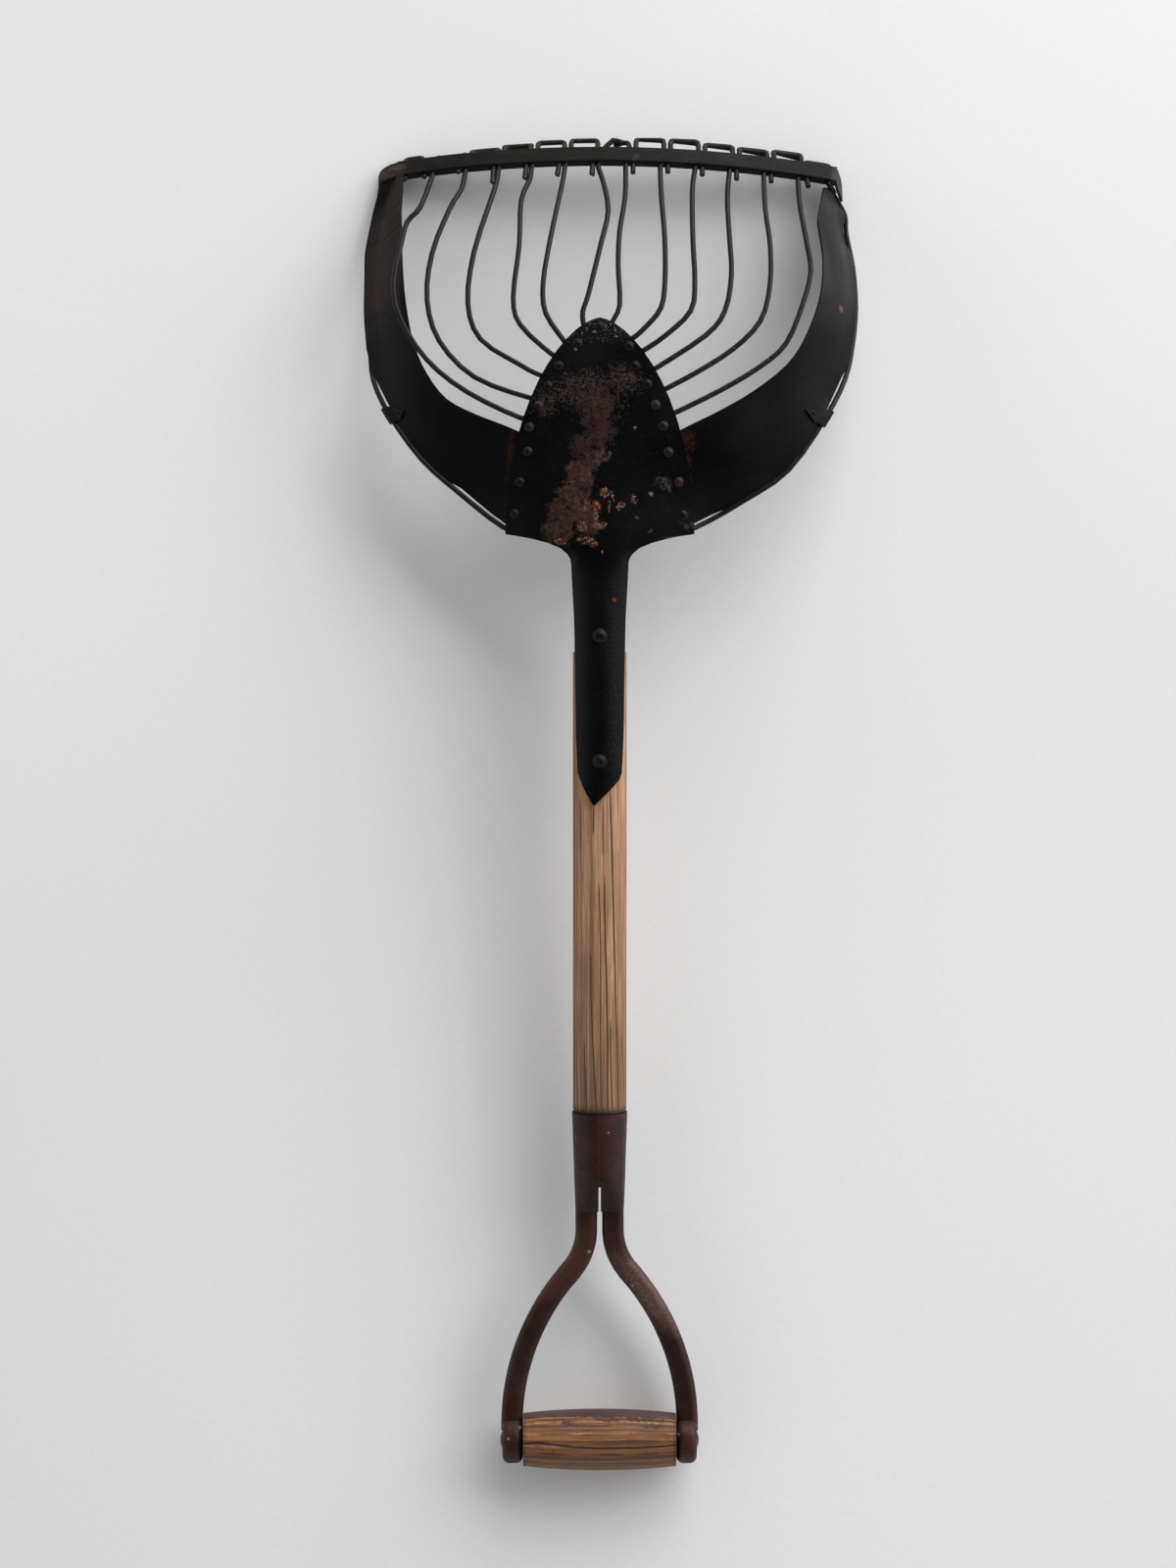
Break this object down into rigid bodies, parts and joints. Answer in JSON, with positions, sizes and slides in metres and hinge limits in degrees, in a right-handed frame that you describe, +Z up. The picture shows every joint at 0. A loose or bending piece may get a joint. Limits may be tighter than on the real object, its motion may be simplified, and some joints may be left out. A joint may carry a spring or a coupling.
{
  "type": "wire scoop",
  "caption": "Hand scoop with an open bowl of iron wires between two sheet sides, a straight ash shaft and a D handle with a turning wooden grip.",
  "frame": {"origin": "middle of the bounding box, on the floor that the tool lies on, face down", "axes": "+X to the right seen from above with the mouth ahead, +Y along the tool from the grip to the mouth, +Z up from the floor"},
  "size_m": [0.3551, 0.9554, 0.0835],
  "materials": {
    "ash_wood": "matte",
    "grip_wood": "satin",
    "rust_iron": "satin",
    "black_iron": "satin",
    "wire_iron": "satin"
  },
  "bodies": {
    "tool": {"shaft": "ash_wood", "handle_yoke": "rust_iron", "grip_rod": "rust_iron", "socket_pin": "rust_iron", "outer_plate": "black_iron", "inner_plate": "black_iron", "strap_rivets": "black_iron", "plate_rivets": "black_iron", "wing_left": "black_iron", "wing_right": "black_iron", "rim_rod_left": "wire_iron", "rim_rod_right": "wire_iron", "rim_clip_left": "black_iron", "rim_clip_right": "black_iron", "clip_rivets": "black_iron", "front_bar": "black_iron", "tine_01": "wire_iron", "tine_02": "wire_iron", "tine_03": "wire_iron", "tine_04": "wire_iron", "tine_05": "wire_iron", "tine_06": "wire_iron", "tine_07": "wire_iron", "tine_08": "wire_iron", "tine_09": "wire_iron", "tine_10": "wire_iron", "tine_11": "wire_iron", "tine_12": "wire_iron"},
    "grip": {"grip": "grip_wood"}
  },
  "joints": [
    {"name": "grip_spin", "type": "hinge", "parent": "tool", "child": "grip", "pos_m": [-0.00826, -0.45603, 0.02175], "axis": [1, 0, 0], "continuous": true}
  ]
}
